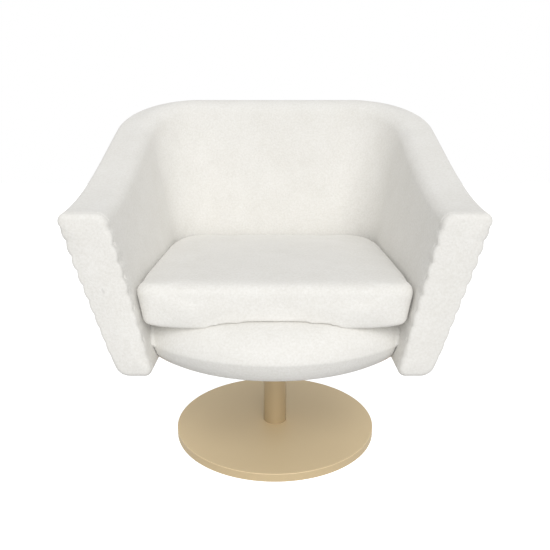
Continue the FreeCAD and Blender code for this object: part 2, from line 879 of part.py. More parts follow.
def cushion_form(inset, cut_count):
    # The sides round in below and above the widest level, and the top crowns to a flat middle.
    widest = size(f"{deck_top} + cushion_widest_rise")
    lower = size("cushion_sag + cushion_widest_rise") - inset
    upper = size("cushion_edge_rise - cushion_widest_rise") - inset
    plans = []
    round_steps = 2
    for step in range(round_steps, 0, -1):
        turn = math.pi / 2 * step / round_steps
        drawn = size("cushion_draw_in") * (1 - math.cos(turn))
        plans.append(cushion_plan(inset + drawn, widest - lower * math.sin(turn), cut_count))
    for step in range(round_steps + 1):
        turn = math.pi / 2 * step / round_steps
        drawn = size("cushion_edge_round") * (1 - math.cos(turn))
        plans.append(cushion_plan(inset + drawn, widest + upper * math.sin(turn), cut_count))
    drawn = size("cushion_edge_round + cushion_crown_reach")
    level = widest + upper + size("cushion_crown")
    plans.append(cushion_plan(inset + drawn, level, cut_count))
    return Part.makeLoft(plans, True, True)


def lifted(shape, height):
    copy = shape.copy()
    copy.translate(Vector(0, 0, height))
    return copy


# Base, column and bearing

nodes = [
    make_base_cover(),
    make_base_weight(),
    make_floor_glides(),
    make_centre_pad(),
    make_base_bolt(),
    make_base_washer(),
    make_column_foot_plug(),
    make_column_tube(),
    make_upper_bush(),
    make_lower_bush(),
    make_race("lower_race", bush_top),
    make_race("upper_race", upper_race_bottom),
    make_roller_cage(),
    make_rollers(),
    make_spindle(),
    make_spindle_keeper(),
    make_keeper_bolt(),
    make_swivel_plate(),
    make_mounting_bolts(),
]
seat_board = make_seat_board()
nodes.extend([seat_board, make_dust_cover()])

# Shell

board_depth = size("fabric + outer_padding")
bent_board = around_shell(
    lambda one: board_outline(one, board_depth, size("shell_board_thickness")))
bent_board = bent_board.cut(seat_board.Shape)
posts = {"left_arm_post": make_arm_post(1), "right_arm_post": make_arm_post(-1)}
padding = around_shell(foam_outline)
for inner_piece in [bent_board, seat_board.Shape, *posts.values()]:
    padding = padding.cut(inner_piece)
nodes.append(plain_feature("shell_board", bent_board))
for label, post in posts.items():
    nodes.append(plain_feature(label, post))
nodes.append(plain_feature("shell_foam", padding))
outside_skin = around_shell(lambda one: skin_outline(one, [1, 2, 3, 4]))
inside_skin = around_shell(lambda one: skin_outline(one, [5, 6, 7, 0]))
nodes.append(plain_feature("outside_cover", outside_skin))
nodes.append(plain_feature("inside_cover", inside_skin.cut(seat_board.Shape)))
nodes.append(plain_feature("left_arm_facing", make_arm_facing(1)))
nodes.append(plain_feature("right_arm_facing", make_arm_facing(-1)))

# Deck and cushion

outside_arms = around_shell(outside_outline)
deck_outer = deck_form(0)
deck_inner = deck_form(size("fabric"))
deck_foam = largest(deck_inner.cut(outside_arms)).cut(seat_board.Shape)
deck_skin = largest(deck_outer.cut(outside_arms)).cut(deck_inner).cut(folded_edge())
nodes.append(plain_feature("deck_foam", largest(deck_foam)))
nodes.append(plain_feature("deck_cover", largest(deck_skin)))
cushion_seat = lifted(deck_outer, size("soft_gap"))
cushion_outer = cushion_form(0, 5).cut(cushion_seat)
cushion_inner = cushion_form(size("fabric"), 2).cut(lifted(cushion_seat, size("fabric")))
nodes.append(plain_feature("cushion_foam", cushion_inner))
nodes.append(plain_feature("cushion_cover", cushion_outer.cut(cushion_inner)))

# Checks and files

doc.recompute()
for item in doc.Objects:
    if "Invalid" in item.State or "Error" in item.State:
        raise RuntimeError(f"{item.Label} failed: {item.State}")
os.makedirs("parts", exist_ok=True)
for node in nodes:
    shape = node.Shape
    if shape.isNull() or not shape.isValid():
        raise RuntimeError(f"{node.Label} has no valid shape")
    shape.exportStep(f"parts/{node.Label}.step")
    box = shape.BoundBox
    print(f"{node.Label}: {len(shape.Solids)} solids, {shape.Volume / 1000:.1f} cm3, "
          f"z {box.ZMin:.1f} to {box.ZMax:.1f}")
print(f"{len(nodes)} nodes")
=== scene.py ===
import bpy
import json
import math
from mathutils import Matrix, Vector


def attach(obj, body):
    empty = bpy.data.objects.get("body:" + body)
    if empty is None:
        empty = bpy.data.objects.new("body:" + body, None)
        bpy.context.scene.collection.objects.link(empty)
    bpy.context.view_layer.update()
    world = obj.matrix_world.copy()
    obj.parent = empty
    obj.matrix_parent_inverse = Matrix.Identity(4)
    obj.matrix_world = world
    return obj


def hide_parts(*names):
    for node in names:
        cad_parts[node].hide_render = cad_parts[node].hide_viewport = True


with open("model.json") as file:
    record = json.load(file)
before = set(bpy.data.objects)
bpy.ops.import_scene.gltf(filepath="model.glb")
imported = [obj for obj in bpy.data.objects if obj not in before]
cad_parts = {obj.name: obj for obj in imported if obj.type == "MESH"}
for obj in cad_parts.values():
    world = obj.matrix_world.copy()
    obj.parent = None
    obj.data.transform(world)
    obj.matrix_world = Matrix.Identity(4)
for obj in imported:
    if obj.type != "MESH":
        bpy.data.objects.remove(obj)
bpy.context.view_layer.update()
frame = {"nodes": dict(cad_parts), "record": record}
print("frame loaded:", len(frame["nodes"]), "nodes")

scene = bpy.context.scene
scene.view_settings.view_transform = "Standard"


# small helpers used by every piece

def deselectAll():
    if bpy.context.object and bpy.context.object.mode != "OBJECT":
        bpy.ops.object.mode_set(mode="OBJECT")
    bpy.ops.object.select_all(action="DESELECT")


def makeActive(piece):
    deselectAll()
    piece.select_set(True)
    bpy.context.view_layer.objects.active = piece


def addGrid(name, across, along):
    # a flat grid, one metre a side, that is then laid over a shape
    deselectAll()
    bpy.ops.mesh.primitive_grid_add(x_subdivisions=across, y_subdivisions=along, size=1)
    piece = bpy.context.object
    piece.name = name
    piece.data.name = name
    return piece


def layOver(piece, place):
    # moves each point of the grid to where place puts it, from its two shares of the grid
    for vert in piece.data.vertices:
        vert.co = place(vert.co.x + 0.5, vert.co.y + 0.5)
    piece.data.update()


def tidyMesh(piece, merge=0.00005):
    makeActive(piece)
    bpy.ops.object.mode_set(mode="EDIT")
    bpy.ops.mesh.select_all(action="SELECT")
    bpy.ops.mesh.remove_doubles(threshold=merge)
    bpy.ops.mesh.normals_make_consistent(inside=False)
    bpy.ops.object.mode_set(mode="OBJECT")
    bpy.ops.object.shade_smooth()


def addModifier(piece, kind, **settings):
    makeActive(piece)
    modifier = piece.modifiers.new(kind.lower(), kind)
    for key, value in settings.items():
        setattr(modifier, key, value)
    bpy.ops.object.modifier_apply(modifier=modifier.name)


def dress(piece, material):
    piece.data.materials.clear()
    piece.data.materials.append(material)


def ease(share):
    share = min(max(share, 0.0), 1.0)
    return share * share * (3 - 2 * share)


def between(pair, share):
    return pair[0] + (pair[1] - pair[0]) * share


# materials

def newMaterial(name):
    material = bpy.data.materials.new(name)
    material.use_nodes = True
    tree = material.node_tree
    return material, tree, tree.nodes["Principled BSDF"]


def addNode(tree, kind, **values):
    node = tree.nodes.new(kind)
    for key, value in values.items():
        if key in node.inputs:
            node.inputs[key].default_value = value
        else:
            setattr(node, key, value)
    return node


def mixNode(tree, dark, light, amount):
    mix = addNode(tree, "ShaderNodeMix", data_type="RGBA")
    mix.inputs["A"].default_value = (*dark, 1)
    mix.inputs["B"].default_value = (*light, 1)
    tree.links.new(amount, mix.inputs["Factor"])
    return mix


def boucleFelt():
    look = {
        "light": (0.850, 0.838, 0.805), "dark": (0.765, 0.748, 0.705),
        "roughness": 0.95, "sheen": 0.25,
        "grainScale": 210.0, "curlScale": 420.0, "patchScale": 14.0,
        "grainDepth": 0.0011, "curlDepth": 0.0005,
        "grainShare": 2.2, "toneLow": 1.1, "toneHigh": 2.1,
    }
    material, tree, shader = newMaterial("boucleFelt")
    place = addNode(tree, "ShaderNodeTexCoord").outputs["Object"]
    grain = addNode(tree, "ShaderNodeTexNoise", Scale=look["grainScale"], Detail=3.0, Roughness=0.6)
    curl = addNode(tree, "ShaderNodeTexVoronoi", Scale=look["curlScale"])
    patch = addNode(tree, "ShaderNodeTexNoise", Scale=look["patchScale"], Detail=4.0, Roughness=0.55)
    for texture in (grain, curl, patch):
        tree.links.new(place, texture.inputs["Vector"])
    tone = addNode(tree, "ShaderNodeMath", operation="MULTIPLY_ADD")
    tree.links.new(grain.outputs["Fac"], tone.inputs[0])
    tone.inputs[1].default_value = look["grainShare"]
    tree.links.new(patch.outputs["Fac"], tone.inputs[2])
    spread = addNode(tree, "ShaderNodeMapRange")
    tree.links.new(tone.outputs["Value"], spread.inputs["Value"])
    spread.inputs["From Min"].default_value = look["toneLow"]
    spread.inputs["From Max"].default_value = look["toneHigh"]
    mix = mixNode(tree, look["dark"], look["light"], spread.outputs["Result"])
    tree.links.new(mix.outputs["Result"], shader.inputs["Base Color"])
    shader.inputs["Roughness"].default_value = look["roughness"]
    shader.inputs["Sheen Weight"].default_value = look["sheen"]
    shader.inputs["Sheen Roughness"].default_value = 0.6
    shader.inputs["Specular IOR Level"].default_value = 0.15
    fine = addNode(tree, "ShaderNodeBump", Strength=0.35, Distance=look["curlDepth"])
    coarse = addNode(tree, "ShaderNodeBump", Strength=0.5, Distance=look["grainDepth"])
    tree.links.new(curl.outputs["Distance"], fine.inputs["Height"])
    tree.links.new(grain.outputs["Fac"], coarse.inputs["Height"])
    tree.links.new(fine.outputs["Normal"], coarse.inputs["Normal"])
    tree.links.new(coarse.outputs["Normal"], shader.inputs["Normal"])
    return material


def satinMetal(name, light, dark, roughness, brushScale, metallic=1.0):
    # satin metal: a little tone and roughness drift, and fine scratches round the axis
    material, tree, shader = newMaterial(name)
    place = addNode(tree, "ShaderNodeTexCoord").outputs["Object"]
    drift = addNode(tree, "ShaderNodeTexNoise", Scale=6.0, Detail=2.0)
    scratches = addNode(tree, "ShaderNodeTexNoise", Scale=brushScale, Detail=2.0)
    for texture in (drift, scratches):
        tree.links.new(place, texture.inputs["Vector"])
    mix = mixNode(tree, dark, light, drift.outputs["Fac"])
    tree.links.new(mix.outputs["Result"], shader.inputs["Base Color"])
    shader.inputs["Metallic"].default_value = metallic
    rough = addNode(tree, "ShaderNodeMapRange")
    tree.links.new(scratches.outputs["Fac"], rough.inputs["Value"])
    rough.inputs["To Min"].default_value = roughness - 0.04
    rough.inputs["To Max"].default_value = roughness + 0.04
    tree.links.new(rough.outputs["Result"], shader.inputs["Roughness"])
    bump = addNode(tree, "ShaderNodeBump", Strength=0.05, Distance=0.0002)
    tree.links.new(scratches.outputs["Fac"], bump.inputs["Height"])
    tree.links.new(bump.outputs["Normal"], shader.inputs["Normal"])
    return material


def plainGrain(name, light, dark, roughness, scale, stretch=(1, 1, 1)):
    # wood, nylon, cloth or casting: two tones through a stretched noise, with a matching bump
    material, tree, shader = newMaterial(name)
    place = addNode(tree, "ShaderNodeTexCoord").outputs["Object"]
    mapping = addNode(tree, "ShaderNodeMapping")
    mapping.inputs["Scale"].default_value = stretch
    tree.links.new(place, mapping.inputs["Vector"])
    grain = addNode(tree, "ShaderNodeTexNoise", Scale=scale, Detail=4.0)
    tree.links.new(mapping.outputs["Vector"], grain.inputs["Vector"])
    mix = mixNode(tree, dark, light, grain.outputs["Fac"])
    tree.links.new(mix.outputs["Result"], shader.inputs["Base Color"])
    shader.inputs["Roughness"].default_value = roughness
    bump = addNode(tree, "ShaderNodeBump", Strength=0.2, Distance=0.0004)
    tree.links.new(grain.outputs["Fac"], bump.inputs["Height"])
    tree.links.new(bump.outputs["Normal"], shader.inputs["Normal"])
    return material


def discWithPaintedLight():
    # The disc's top is written brighter than the metal is: painted light, making up for the shadow under
    # the seat.
    # The rim stands in the light and has a tone closer to the column's, so the change in tone from top to
    # rim is painted light.
    rim = (0.60, 0.47, 0.28)
    material = satinMetal("champagneDiscPaintedLight", (0.94, 0.75, 0.46), (0.91, 0.72, 0.44), 0.55, 700.0, 0.1)
    tree = material.node_tree
    shader = tree.nodes["Principled BSDF"]
    paintedBrightTopTone = shader.inputs["Base Color"].links[0].from_socket
    paintedLightTopMask = addNode(tree, "ShaderNodeSeparateXYZ")
    tree.links.new(addNode(tree, "ShaderNodeTexCoord").outputs["Normal"], paintedLightTopMask.inputs["Vector"])
    # painted light by facing: up-facing top gets the painted bright tone, the sides get the rim tone
    mix = mixNode(tree, rim, (1.0, 1.0, 1.0), paintedLightTopMask.outputs["Z"])
    tree.links.new(paintedBrightTopTone, mix.inputs["B"])
    tree.links.new(mix.outputs["Result"], shader.inputs["Base Color"])
    return material


felt = boucleFelt()
champagne = satinMetal("champagneMetal", (0.50, 0.39, 0.23), (0.48, 0.37, 0.22), 0.50, 900.0, 0.25)
# the disc's metal with painted light: its top brighter than the metal, to stand in for light under the seat
champagneDiscPaintedLight = discWithPaintedLight()
zinc = satinMetal("zincSteel", (0.55, 0.55, 0.57), (0.45, 0.45, 0.47), 0.35, 600.0)
bearingSteel = satinMetal("groundSteel", (0.60, 0.60, 0.62), (0.52, 0.52, 0.54), 0.22, 1200.0)
blackSteel = plainGrain("blackPowderCoat", (0.030, 0.030, 0.030), (0.018, 0.018, 0.018), 0.6, 800.0)
casting = plainGrain("blackCasting", (0.05, 0.05, 0.05), (0.02, 0.02, 0.02), 0.85, 160.0)
nylon = plainGrain("blackNylon", (0.040, 0.040, 0.042), (0.025, 0.025, 0.027), 0.5, 300.0)
birch = plainGrain("birchPly", (0.62, 0.43, 0.25), (0.42, 0.27, 0.14), 0.7, 30.0, (1, 14, 1))
dustCloth = plainGrain("dustCloth", (0.030, 0.030, 0.032), (0.012, 0.012, 0.013), 0.95, 700.0)
gliderFelt = plainGrain("gliderFelt", (0.22, 0.22, 0.22), (0.10, 0.10, 0.10), 0.98, 900.0)

finishes = {
    "champagne_metal": champagne, "zinc_steel": zinc, "bearing_steel": bearingSteel,
    "black_steel": blackSteel, "cast_ballast": casting, "bearing_plastic": nylon,
    "plywood": birch, "dust_cloth": dustCloth, "felt": gliderFelt,
}
for part in frame["record"]["subparts"]:
    if part["material_slot"] in finishes:
        dress(frame["nodes"][part["node"]], finishes[part["material_slot"]])
# the base cover gets the disc material with painted light on its top
dress(frame["nodes"]["base_cover"], champagneDiscPaintedLight)
print("materials made")


# tub shell: a leaning wall section carried round two arms, two corners and the back

shell = {
    "coreHalf": 0.185, "cornerBack": 0.185, "armFront": -0.291,
    "footOut": 0.128, "topOut": 0.2285, "footWidth": 0.070, "topWidth": (0.0965, 0.084),
    "rimHeight": (0.601, 0.826), "rimLead": 0.042, "footLevel": 0.2733,
    "footRound": (0.014, 0.030), "outerRound": 0.015, "roll": (0.024, 0.045),
    "stations": 240, "cloth": 0.0018,
    "boardTop": 0.2945, "boardFront": -0.205,  # the inside cloth is tucked over the seat board
    "seamDepth": 0.0022, "seamWidth": 0.006,
}
pucker = {
    "pitchOut": 0.0288, "startOut": 0.577, "pitchIn": 0.0322, "startIn": 0.5755,
    "depth": 0.0052, "fadeHigh": 0.52, "fadeLow": 0.30, "least": 0.35, "reach": 0.045,
    "topEase": (0.012, 0.02), "footEase": (0.02, 0.03), "roundness": 0.6, "balance": 0.72,
}


def armRun():
    return shell["cornerBack"] - shell["armFront"]


def cornerRun():
    return shell["topOut"] * math.pi / 2


def halfRun():
    return armRun() + cornerRun() + shell["coreHalf"]


def shellStation(run):
    # run is measured along the rim's outer edge, 0 at the middle of the back
    side = 1 if run > 0 else -1
    reach = halfRun() - abs(run)
    rise = ease((reach + shell["rimLead"]) / (armRun() + cornerRun()))
    if reach < armRun():
        centre, outward = Vector((shell["coreHalf"], shell["armFront"] + reach, 0)), Vector((1, 0, 0))
    elif reach < armRun() + cornerRun():
        turn = (reach - armRun()) / shell["topOut"]
        centre = Vector((shell["coreHalf"], shell["cornerBack"], 0))
        outward = Vector((math.cos(turn), math.sin(turn), 0))
    else:
        centre = Vector((halfRun() - reach, shell["cornerBack"], 0))
        outward = Vector((0, 1, 0))
    mirror = Vector((side, 1, 1))
    return centre * mirror, outward * mirror, rise


def wallCorners(rise):
    foot, rim = shell["footLevel"], between(shell["rimHeight"], rise)
    width = between(shell["topWidth"], rise)
    return [
        Vector((shell["footOut"] - shell["footWidth"], foot)),
        Vector((shell["footOut"], foot)),
        Vector((shell["topOut"], rim)),
        Vector((shell["topOut"] - width, rim)),
    ]


def roundedCorner(before, here, after, radius, steps):
    # points along the arc that rounds one corner
    back, on = (before - here).normalized(), (after - here).normalized()
    halfAngle = back.angle(on) / 2
    centre = here + (back + on).normalized() * radius / math.sin(halfAngle)
    first = here + back * radius / math.tan(halfAngle) - centre
    last = here + on * radius / math.tan(halfAngle) - centre
    sweep = first.angle_signed(last)
    points = []
    for step in range(steps + 1):
        turn = -sweep * step / steps
        points.append(centre + Vector((first.x * math.cos(turn) - first.y * math.sin(turn),
                                       first.x * math.sin(turn) + first.y * math.cos(turn))))
    return points


def wallArcs(rise, steps=8):
    corners = wallCorners(rise)
    radii = [*shell["footRound"], shell["outerRound"], between(shell["roll"], rise)]
    return [roundedCorner(corners[index - 1], corners[index], corners[(index + 1) % 4], radii[index], steps)
            for index in range(4)]


def run(start, end, steps):
    # points between two ends, without the ends
    return [start.lerp(end, step / steps) for step in range(1, steps)]


def outsideSection(rise):
    innerFoot, outerFoot, outerTop, innerTop = wallArcs(rise)
    return [innerFoot[-1], *run(innerFoot[-1], outerFoot[0], 6), *outerFoot,
            *run(outerFoot[-1], outerTop[0], 36), outerTop[0]]


def insideSection(rise):
    innerFoot, outerFoot, outerTop, innerTop = wallArcs(rise, 12)
    return [*outerTop, *run(outerTop[-1], innerTop[0], 6), *innerTop,
            *run(innerTop[-1], innerFoot[0], 32), *innerFoot]


def puckerAt(height, pitch, start):
    # rows of soft bumps with sharp notches between them, fading towards the foot
    above, topRun = pucker["topEase"]
    clear, footRun = pucker["footEase"]
    grown = ease((height - pucker["fadeLow"]) / (pucker["fadeHigh"] - pucker["fadeLow"]))
    fade = pucker["least"] + (1 - pucker["least"]) * grown
    fade *= ease((start + above - height) / topRun) * ease((height - shell["footLevel"] - clear) / footRun)
    wave = abs(math.sin(math.pi * (start - height) / pitch))
    return pucker["depth"] * fade * (wave ** pucker["roundness"] - pucker["balance"])


def shellPoint(section, runAlong, index, seams, pitch, start):
    centre, outward, rise = shellStation(runAlong)
    points = section(rise)
    here = points[index]
    before, after = points[max(index - 1, 0)], points[min(index + 1, len(points) - 1)]
    along = (after - before).normalized()
    normal = Vector((along.y, -along.x))
    push = 0.0
    fromFront = halfRun() - abs(runAlong)
    lengths = [0.0]
    for first, second in zip(points[:-1], points[1:]):
        lengths.append(lengths[-1] + (second - first).length)
    for seam in seams:
        gap = lengths[index] if seam == 0 else lengths[-1] - lengths[index]
        push -= shell["seamDepth"] * math.exp(-(gap / shell["seamWidth"]) ** 2)
    if fromFront < pucker["reach"]:
        push += puckerAt(here.y, pitch, start) * (1 - ease(fromFront / pucker["reach"]))
    spot = here + normal * push
    return centre + outward * spot.x + Vector((0, 0, spot.y))


def shellPanel(name, section, seams, pitch, start):
    count = len(section(0.5))
    panel = addGrid(name, shell["stations"], count - 1)

    def place(shareAlong, shareAround):
        runAlong = (shareAlong - 0.5) * 2 * halfRun()
        return shellPoint(section, runAlong, round(shareAround * (count - 1)), seams, pitch, start)

    layOver(panel, place)
    return panel


def tuckOverBoard(panel):
    # behind the arm's front the inside cloth ends in a flap over the seat board
    for vert in panel.data.vertices:
        if vert.co.y > shell["boardFront"] and vert.co.z < shell["boardTop"]:
            vert.co.z = shell["boardTop"]


def thicken(panel):
    tidyMesh(panel)
    addModifier(panel, "SOLIDIFY", thickness=shell["cloth"], offset=-1.0)
    bpy.ops.object.shade_smooth()


outsideCover = shellPanel("outsideCover", outsideSection, (1,), pucker["pitchOut"], pucker["startOut"])
insideCover = shellPanel("insideCover", insideSection, (0,), pucker["pitchIn"], pucker["startIn"])
tuckOverBoard(insideCover)
for panel in (outsideCover, insideCover):
    thicken(panel)
    dress(panel, felt)
    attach(panel, "seat")
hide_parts("outside_cover")
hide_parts("inside_cover", "shell_foam")
print("shell covers made")


# padded fronts of the arms

facing = {
    "steps": 8, "front": -0.3045, "round": 0.013, "sideRound": 0.007, "crown": 0.0025,
    "rings": 10, "sideSteps": 60, "endSteps": 10, "backLap": 0.004,
    "halfWay": 0.02, "halfLean": 0.2,  # the line that parts the outer edge from the inner one
    "spineFoot": 0.04, "spineTop": 0.02, "endShare": 0.15, "endEase": 0.2,
}


def facingOutline(side):
    # the wall's section at the arm's front, puckered along its two long edges
    innerFoot, outerFoot, outerTop, innerTop = wallArcs(ease(shell["rimLead"] / (armRun() + cornerRun())))
    long, short = facing["sideSteps"], facing["endSteps"]
    outline = [
        *outerFoot, *run(outerFoot[-1], outerTop[0], long), *outerTop,
        *run(outerTop[-1], innerTop[0], short), *innerTop,
        *run(innerTop[-1], innerFoot[0], long), *innerFoot,
        *run(innerFoot[-1], outerFoot[0], short),
    ]
    result = []
    for index, point in enumerate(outline):
        before, after = outline[index - 1], outline[(index + 1) % len(outline)]
        along = (after - before).normalized()
        normal = Vector((along.y, -along.x))
        middle = shell["footOut"] - facing["halfWay"] + (point.y - shell["footLevel"]) * facing["halfLean"]
        if point.x > middle:
            push = puckerAt(point.y, pucker["pitchOut"], pucker["startOut"])
        else:
            push = puckerAt(point.y, pucker["pitchIn"], pucker["startIn"])
        result.append(point + normal * push)
    return [Vector((side * (shell["coreHalf"] + point.x), 0, point.y)) for point in result]


def armFacing(name, side):
    outline = facingOutline(side)
    corners = wallCorners(0.0)
    low = (corners[0] + corners[1]) / 2 + Vector((0, facing["spineFoot"]))
    high = (corners[2] + corners[3]) / 2 - Vector((0, shell["roll"][0] + facing["spineTop"]))
    spineLow = Vector((side * (shell["coreHalf"] + low.x), 0, low.y))
    spineHigh = Vector((side * (shell["coreHalf"] + high.x), 0, high.y))
    spine = spineHigh - spineLow
    count = len(outline)
    bends = []
    for point in outline:
        share = (point - spineLow).dot(spine) / spine.length_squared
        near, over = facing["endShare"], facing["endEase"]
        atEnd = max(ease((share - (1 - near)) / over), ease((near - share) / over))
        bends.append(between((facing["sideRound"], facing["round"]), atEnd))
    piece = addGrid(name, count, facing["rings"] + facing["steps"])
    back = shell["armFront"] + facing["backLap"]

    def place(shareRound, shareIn):
        index = round(shareRound * count) % count
        point, bend = outline[index], bends[index]
        row = round(shareIn * (facing["rings"] + facing["steps"]))
        share = min(max((point - spineLow).dot(spine) / spine.length_squared, 0), 1)
        middle = spineLow + spine * share
        inward = middle - point
        if row == 0:
            return Vector((point.x, back, point.z))
        if row <= facing["steps"]:
            turn = (row - 1) / (facing["steps"] - 1) * math.pi / 2
            drawn = bend * (1 - math.cos(turn))
            depth = facing["front"] + bend * (1 - math.sin(turn))
            spot = point + inward.normalized() * drawn
            return Vector((spot.x, depth, spot.z))
        begin = bend / inward.length
        part = (row - facing["steps"]) / facing["rings"]
        spot = point + inward * (begin + (1 - begin) * part)
        depth = facing["front"] - facing["crown"] * math.sin(part * math.pi / 2)
        return Vector((spot.x, depth, spot.z))

    layOver(piece, place)
    tidyMesh(piece, 0.0002)
    makeActive(piece)
    bpy.ops.object.mode_set(mode="EDIT")
    bpy.ops.mesh.select_all(action="DESELECT")
    bpy.ops.mesh.select_mode(type="EDGE")
    bpy.ops.mesh.select_non_manifold()
    bpy.ops.mesh.edge_face_add()  # closes the side that lies against the arm
    bpy.ops.mesh.select_all(action="SELECT")
    bpy.ops.mesh.normals_make_consistent(inside=False)
    bpy.ops.object.mode_set(mode="OBJECT")
    bpy.ops.object.shade_smooth_by_angle(angle=math.radians(50))
    dress(piece, felt)
    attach(piece, "seat")
    return piece


leftFacing = armFacing("leftArmFacing", 1)
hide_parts("left_arm_facing")
rightFacing = armFacing("rightArmFacing", -1)
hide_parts("right_arm_facing")
print("arm fronts made")


# deck: a padded disc between the arms, its cloth folded under the seat board

deck = {
    "profile": [  # distance from the axis and height, from the crown down to the fold
        (0.262, 0.3862), (0.285, 0.3829), (0.302, 0.3775), (0.3158, 0.3713), (0.328, 0.3627),
        (0.3385, 0.3515), (0.3462, 0.3385), (0.3498, 0.3255), (0.3505, 0.3185), (0.3490, 0.3138),
        (0.3458, 0.3060), (0.3412, 0.2965), (0.3358, 0.2875), (0.3298, 0.2800), (0.3240, 0.2751),
        (0.3175, 0.2734), (0.3060, 0.2733), (0.2900, 0.2733),
    ],
    "top": 0.3890, "rear": 0.2570, "topRows": 26, "columns": 150, "cloth": 0.0016,
    "wallGap": 0.0006, "tuck": 0.008, "tuckDepth": 0.010,
    "footDraw": 0.006, "footDrawFrom": (0.300, 0.025),  # the lower edge is drawn in towards the arms
    "flareFrom": (0.312, 0.014), "topReach": 0.93,
}


def innerWallAt(height):
    # half the space between the arms at a height, at the arm's front section
    foot, top = wallCorners(0.05)[0], wallCorners(0.05)[3]
    share = (height - foot.y) / (top.y - foot.y)
    return shell["coreHalf"] + foot.x + (top.x - foot.x) * share


def smoothProfile(points, steps):
    # a soft curve through the profile's points
    result = []
    for index in range(len(points) - 1):
        before, start = Vector(points[max(index - 1, 0)]), Vector(points[index])
        end, after = Vector(points[index + 1]), Vector(points[min(index + 2, len(points) - 1)])
        for step in range(steps):
            t = step / steps
            result.append(0.5 * ((2 * start) + (end - before) * t
                                 + (2 * before - 5 * start + 4 * end - after) * t * t
                                 + (3 * start - before - 3 * end + after) * t ** 3))
    result.append(Vector(points[-1]))
    return result


def deckCover():
    profile = smoothProfile(deck["profile"], 3)
    rows = deck["topRows"] + len(profile)
    piece = addGrid("deckCover", deck["columns"], rows - 1)
    firstRadius, firstHeight = deck["profile"][0]

    def place(shareAcross, shareDown):
        row = round(shareDown * (rows - 1))
        side = (shareAcross - 0.5) * 2
        if row < deck["topRows"]:
            share = row / deck["topRows"]
            x = side * (innerWallAt(deck["top"]) - deck["wallGap"])
            front = -math.sqrt(max(firstRadius ** 2 - min(abs(x), firstRadius * deck["topReach"]) ** 2, 0))
            y = deck["rear"] + (front - deck["rear"]) * share
            height = deck["top"] + (firstHeight - deck["top"]) * ease((share - 0.5) / 0.5)
            return Vector((x, y, height))
        radius, height = profile[row - deck["topRows"]]
        level, over = deck["footDrawFrom"]
        radius -= deck["footDraw"] * side * side * ease((level - height) / over)
        limit = innerWallAt(height) - deck["wallGap"]
        x = side * limit
        y = -math.sqrt(max(radius ** 2 - x * x, 0.0009))
        into = (abs(x) - (limit - deck["tuck"])) / deck["tuck"]
        if into > 0:
            level, over = deck["flareFrom"]
            flare = ease((height - level) / over)
            y -= flare * deck["tuckDepth"] * (1 - math.sqrt(max(1 - into * into, 0)))
        return Vector((x, y, height))

    layOver(piece, place)
    tidyMesh(piece)
    addModifier(piece, "SOLIDIFY", thickness=deck["cloth"], offset=-1.0)
    bpy.ops.object.shade_smooth()
    dress(piece, felt)
    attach(piece, "seat")
    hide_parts("deck_cover", "deck_foam")
    return piece


deckCover()
print("deck made")


# loose seat cushion, as wide as the space between the arms lets it be

cushion = {
    "front": -0.2910, "rear": 0.262, "low": 0.3738, "high": 0.4570,
    "plan": [  # half width by distance back, at the widest level
        (-0.291, 0.2797), (-0.15, 0.2797), (0.0, 0.2790), (0.08, 0.2785), (0.12, 0.2765),
        (0.16, 0.2715), (0.195, 0.2620), (0.225, 0.2475), (0.247, 0.2250), (0.260, 0.1950),
    ],
    "frontCorner": 0.040, "sideRound": (0.022, 0.012), "frontRound": 0.021, "lowRound": 0.007,
    "roundFrom": (-0.27, 0.12),  # where the side's rounding tightens, and over what depth
    "lean": 0.205, "around": 240, "crown": 0.007, "crownPower": 2.2,
    "droop": 0.0085, "droopAcross": (0.05, 0.215), "droopBack": (-0.20, 0.06),
    "restsWithin": 0.3158, "restGap": 0.0012,  # inside this radius the underside lies on the deck
    "voxel": 0.005, "pressure": 4.0, "frames": 20, "cap": 0.004,
}


def cushionPlan():
    # the plan outline at the widest level, from the middle of the front round and back to it
    corner, front, half = cushion["frontCorner"], cushion["front"], cushion["plan"][0][1]
    right = [Vector((half * share - corner * share, front)) for share in (0.0, 0.25, 0.5, 0.75)]
    for step in range(9):
        turn = math.pi / 2 * step / 8
        right.append(Vector((half - corner + corner * math.sin(turn),
                             front + corner - corner * math.cos(turn))))
    for point in smoothProfile(cushion["plan"], 4):
        if point.x > front + corner + 0.01:
            right.append(Vector((point.y, point.x)))
    right.append(Vector((0.10, cushion["rear"] + 0.002)))
    left = [Vector((-point.x, point.y)) for point in right[1:]]
    outline = right + [Vector((0.0, cushion["rear"] + 0.003))] + left[::-1]
    return evenly(outline, cushion["around"])


def evenly(outline, count):
    # the same closed outline with its points spread evenly along it
    lengths = [0.0]
    for index, point in enumerate(outline):
        lengths.append(lengths[-1] + (outline[(index + 1) % len(outline)] - point).length)
    result, place = [], 0
    for number in range(count):
        wanted = lengths[-1] * number / count
        while lengths[place + 1] < wanted:
            place += 1
        share = (wanted - lengths[place]) / (lengths[place + 1] - lengths[place])
        result.append(outline[place].lerp(outline[(place + 1) % len(outline)], share))
    return result


